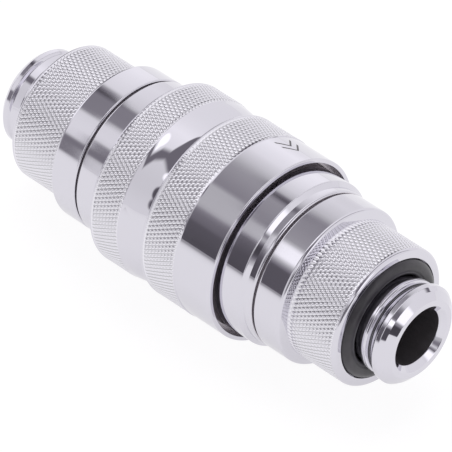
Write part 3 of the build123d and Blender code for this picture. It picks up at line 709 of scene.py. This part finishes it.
# Round lamps and flags: the direction, the degrees where one is full and where it ends, and
# its level. Those in the front wall come first, then those towards the socket's end.
FRONT_PANELS = (
    ((0.34, -0.83, 0.43), 9, 12, 0.12), ((0.31, -0.92, 0.22), 7, 11, 0.15),
    ((-0.40, -0.12, 0.90), 8, 11, 1.5), ((-0.44, -0.25, 0.86), 6, 9, 1.5),
    ((0.30, -0.62, 0.73), 3.5, 7, 1.5),
)
END_PANELS = (
    ((0.92, 0.03, 0.39), 10, 16, 1.45), ((0.93, -0.33, 0.14), 6, 13, 0.08),
    ((0.68, -0.70, 0.21), 9, 14, 0.1), ((0.71, -0.487, 0.504), 3.5, 7, 1.5),
)
SHADE_TINT = (0.985, 0.915, 1.06)
LIGHT_TINT = (0.985, 0.975, 1.0)
world = bpy.data.worlds.new("tent")
bpy.context.scene.world = world
world.use_nodes = True
lead = Lead(world.node_tree)
way = lead.node("TexCoord", out="Generated")
along, across, up = lead.node("SeparateXYZ", None, {0: way}, (0, 1, 2))
turn = up.sum("ARCTAN2", across * -1, up) / (2 * np.pi) + 0.5
# A long lens sees the nearest line of a barrel turned a touch further than its edges.
station = along + along.sum("COSINE", turn * np.pi - np.radians(109.75)) * 0.0083


def tent(bands):
    """One arch of the tent: its level by the turn round the axis."""
    stops = [((angle + 90) / 360, level) for angle, level in bands]
    return lead.node("ValToRGB", {"stops": stops}, {0: turn})


def panel(level, towards, inner, outer, tone):
    """A round lamp or flag in the tent: tone within inner degrees of a direction, fading
    into the tent at outer degrees."""
    towards = np.array(towards) / np.linalg.norm(towards)
    sockets = {0: way, 1: tuple(towards)}
    facing = lead.node("VectorMath", {"operation": "DOT_PRODUCT"}, sockets, "Value")
    share = facing.fade(np.cos(np.radians(outer)), np.cos(np.radians(inner)))
    return share.blend(level, (tone, tone, tone, 1))


level = tent(SOCKET_ARCH)
for edge, width, arch in (
    (-0.5133, 0.0003, RING_ARCH), (-0.5201, 0.0002, SLEEVE_ARCH),
    (-0.5340, 0.0015, PLUG_ARCH), (-0.5491, 0.0003, TAIL_ARCH),
):
    level = station.fade(edge + width, edge - width).blend(level, tent(arch))
gate = station.fade(-0.478, -0.486) * station.fade(-0.620, -0.605)
reach = along * 0.5 + 0.5
middle_stops = [(x / 2 + 0.5, a / 360) for x, a in FLAG_MIDDLE]
middle = lead.node("ValToRGB", {"stops": middle_stops}, {0: reach})
half_stops = [(x / 2 + 0.5, a / 360) for x, a in FLAG_HALF]
half = lead.node("ValToRGB", {"stops": half_stops}, {0: reach})
off = turn.sum("ABSOLUTE", turn - 0.25 - middle) - half
flag = off.fade(0.012, -0.012)
front = flag.blend(tent(FRONT_WALL), (FLAG_LEVEL, FLAG_LEVEL, FLAG_LEVEL, 1))
for shape in FRONT_PANELS:
    front = panel(front, *shape)
walls = along.fade(0.42, 0.34).blend(tent(WALLS), front)
walls = along.fade(-0.62, -0.68).blend(walls, tent(BACK_WALL))
level = gate.blend(walls, level)
for shape in END_PANELS:
    level = panel(level, *shape)
# Bright parts of the tent are nearly white, and dark parts a cool violet.
brightness = lead.node("RGBToBW", None, {0: level}).fade(0.08, 0.6)
tint = brightness.blend((*SHADE_TINT, 1), (*LIGHT_TINT, 1))
multiply = {"data_type": "RGBA", "blend_type": "MULTIPLY"}
tinted = lead.node("Mix", multiply, {0: 1.0, 6: level, 7: tint}, 2)
camera_ray, glossy_ray, through_ray = lead.node(
    "LightPath", None, None, ("Is Camera Ray", "Is Glossy Ray", "Is Transmission Ray")
)
light = glossy_ray.blend((0.62, 0.62, 0.63, 1), tinted)
light = camera_ray.sum("MAXIMUM", camera_ray, through_ray).blend(light, (1.0, 1.0, 1.0, 1))
background = world.node_tree.nodes["Background"]
background.inputs["Strength"].default_value = 1.0
world.node_tree.links.new(light.socket, background.inputs["Color"])

lamp_data = bpy.data.lights.new("overhead", "AREA")
lamp_data.shape = "DISK"
lamp_data.size = 0.9
lamp_data.energy = 3.4
lamp = bpy.data.objects.new("overhead", lamp_data)
bpy.context.scene.collection.objects.link(lamp)
lamp.location = (-0.15, 0.15, 0.95)
lamp.rotation_euler = (Vector((0, 0, 0)) - lamp.location).to_track_quat("-Z", "Y").to_euler()
lamp.visible_glossy = False

# ---- camera --------------------------------------------------------------------------
# A long lens, above and in front of the socket's port.
DISTANCE = 0.5935
back = Vector((0.5300, -0.5392, 0.6545)).normalized()
right = Vector((0.7131, 0.7010, 0.0)).normalized()
upward = back.cross(right)
middle = Vector(((low.x + high.x) / 2 + 0.00145, 0, 0))
aim = middle - right * 0.000587 - upward * 0.000977
view = bpy.data.cameras.new("camera")
view.sensor_width = 36.0
view.lens = 394.7
view.clip_start = 0.01
view.clip_end = 20.0
camera = bpy.data.objects.new("camera", view)
bpy.context.scene.collection.objects.link(camera)
facing = Matrix((right, upward, back)).transposed().to_4x4()
camera.matrix_world = Matrix.Translation(aim + back * DISTANCE) @ facing
bpy.context.scene.camera = camera
bpy.context.scene.view_settings.view_transform = "Standard"
